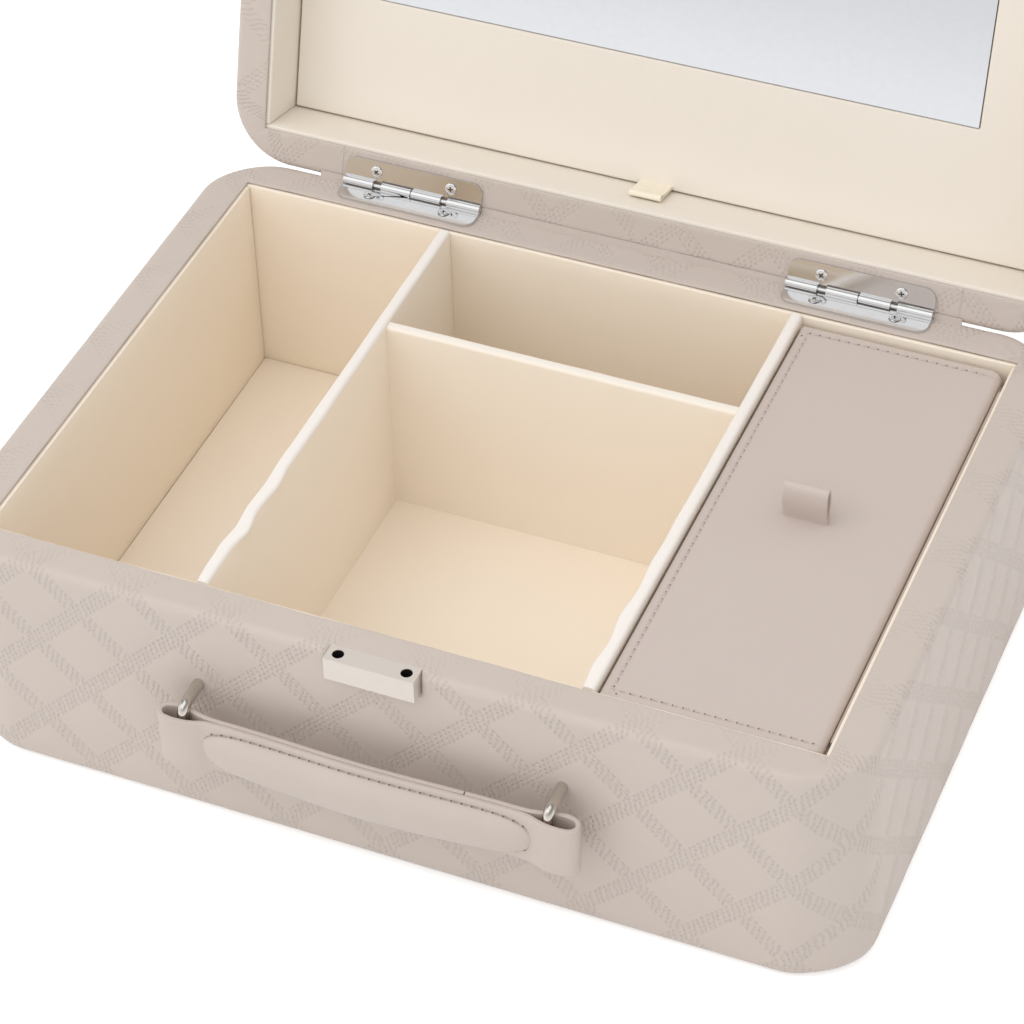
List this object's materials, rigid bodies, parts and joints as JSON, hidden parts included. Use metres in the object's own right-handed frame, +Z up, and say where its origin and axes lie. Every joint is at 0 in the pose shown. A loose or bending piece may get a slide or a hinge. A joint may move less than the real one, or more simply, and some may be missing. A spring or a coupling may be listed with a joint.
{
  "type": "cosmetics case",
  "caption": "Quilted leatherette make-up case, open on two hinges, with lined compartments, a lift-out box, a mirror panel in the lid and a padded strap handle.",
  "frame": {"origin": "centre of the face that the case stands on, under the middle of the base", "axes": "+X to the case's right as it faces its user, +Y towards the hinges at the back, +Z up; the lid is stored open against its stop"},
  "size_m": [0.308, 0.3398, 0.3041],
  "materials": {
    "quilted_leatherette": "foam-backed, embossed with a diamond of dashed lines, soft satin",
    "plain_leatherette": "fine grain, soft satin",
    "smooth_leatherette": "smooth, soft satin",
    "cream_lining": "very fine grain, matt",
    "divider_wrap": "thin wrap, matt, paler on its folded edges",
    "board": "fibreboard, hidden",
    "bright_metal": "bright nickel plate",
    "steel": "plain, hidden",
    "satin_metal": "warm satin plate",
    "magnet": "nickel plate",
    "mirror": "silvered glass",
    "ribbon": "woven ribbon, matt"
  },
  "bodies": {
    "base": {"base_board_front": "board", "base_board_back": "board", "base_board_left": "board", "base_board_right": "board", "base_board_bottom": "board", "base_corner_posts": "board", "base_cover": "quilted_leatherette", "bottom_plate": "plain_leatherette", "lining_front": "cream_lining", "lining_back": "cream_lining", "lining_left": "cream_lining", "lining_right": "cream_lining", "lining_floor": "cream_lining", "divider_left": "divider_wrap", "divider_right": "divider_wrap", "divider_cross": "divider_wrap", "lock_block": "satin_metal", "lock_magnets": "magnet", "lock_screws": "steel", "staple_left": "bright_metal", "staple_right": "bright_metal", "staple_washers": "steel", "hinge_left_base_leaf": "bright_metal", "hinge_right_base_leaf": "bright_metal", "hinge_pins": "bright_metal", "base_hinge_screws": "bright_metal", "hinge_strip": "plain_leatherette", "strap_loop_left": "plain_leatherette", "strap_loop_right": "plain_leatherette"},
    "lid": {"lid_board_front": "board", "lid_board_back": "board", "lid_board_left": "board", "lid_board_right": "board", "lid_board_top": "board", "lid_corner_posts": "board", "lid_cover": "quilted_leatherette", "lid_lining_front": "cream_lining", "lid_lining_back": "cream_lining", "lid_lining_left": "cream_lining", "lid_lining_right": "cream_lining", "pocket_lining": "cream_lining", "panel_ledges": "cream_lining", "lock_keeper": "satin_metal", "hinge_left_lid_leaf": "bright_metal", "hinge_right_lid_leaf": "bright_metal", "lid_hinge_screws": "bright_metal", "panel_tape": "ribbon"},
    "mirror_panel": {"mirror_board": "cream_lining", "mirror_glass": "mirror", "panel_tab": "ribbon"},
    "lift_out_box": {"box_shell": "smooth_leatherette", "box_lining": "cream_lining", "box_fold": "smooth_leatherette"},
    "box_flap": {"flap_board": "smooth_leatherette", "flap_liner": "cream_lining", "flap_loop": "smooth_leatherette"},
    "handle": {"handle_strap": "plain_leatherette", "handle_pad": "plain_leatherette"}
  },
  "joints": [
    {"name": "lid_hinge", "type": "hinge", "parent": "base", "child": "lid", "pos_m": [0, 0.1082, 0.09005], "axis": [-1, 0, 0], "range_deg": [-105.5, 0], "deforming": ["hinge_strip"]},
    {"name": "mirror_panel_hinge", "type": "hinge", "parent": "lid", "child": "mirror_panel", "pos_m": [0, 0.18679, 0.27746], "axis": [-1, 0, 0], "range_deg": [0, 90]},
    {"name": "lift_out_box_slide", "type": "slide", "parent": "base", "child": "lift_out_box", "axis": [0, 0, 1], "range_m": [0, 0.09]},
    {"name": "box_flap_hinge", "type": "hinge", "parent": "lift_out_box", "child": "box_flap", "pos_m": [0.1355, 0, 0.083], "axis": [0, 1, 0], "range_deg": [0, 100]},
    {"name": "handle_pull", "type": "slide", "parent": "base", "child": "handle", "axis": [0, -1, 0], "range_m": [0, 0.016], "deforming": ["strap_loop_left", "strap_loop_right"]}
  ]
}
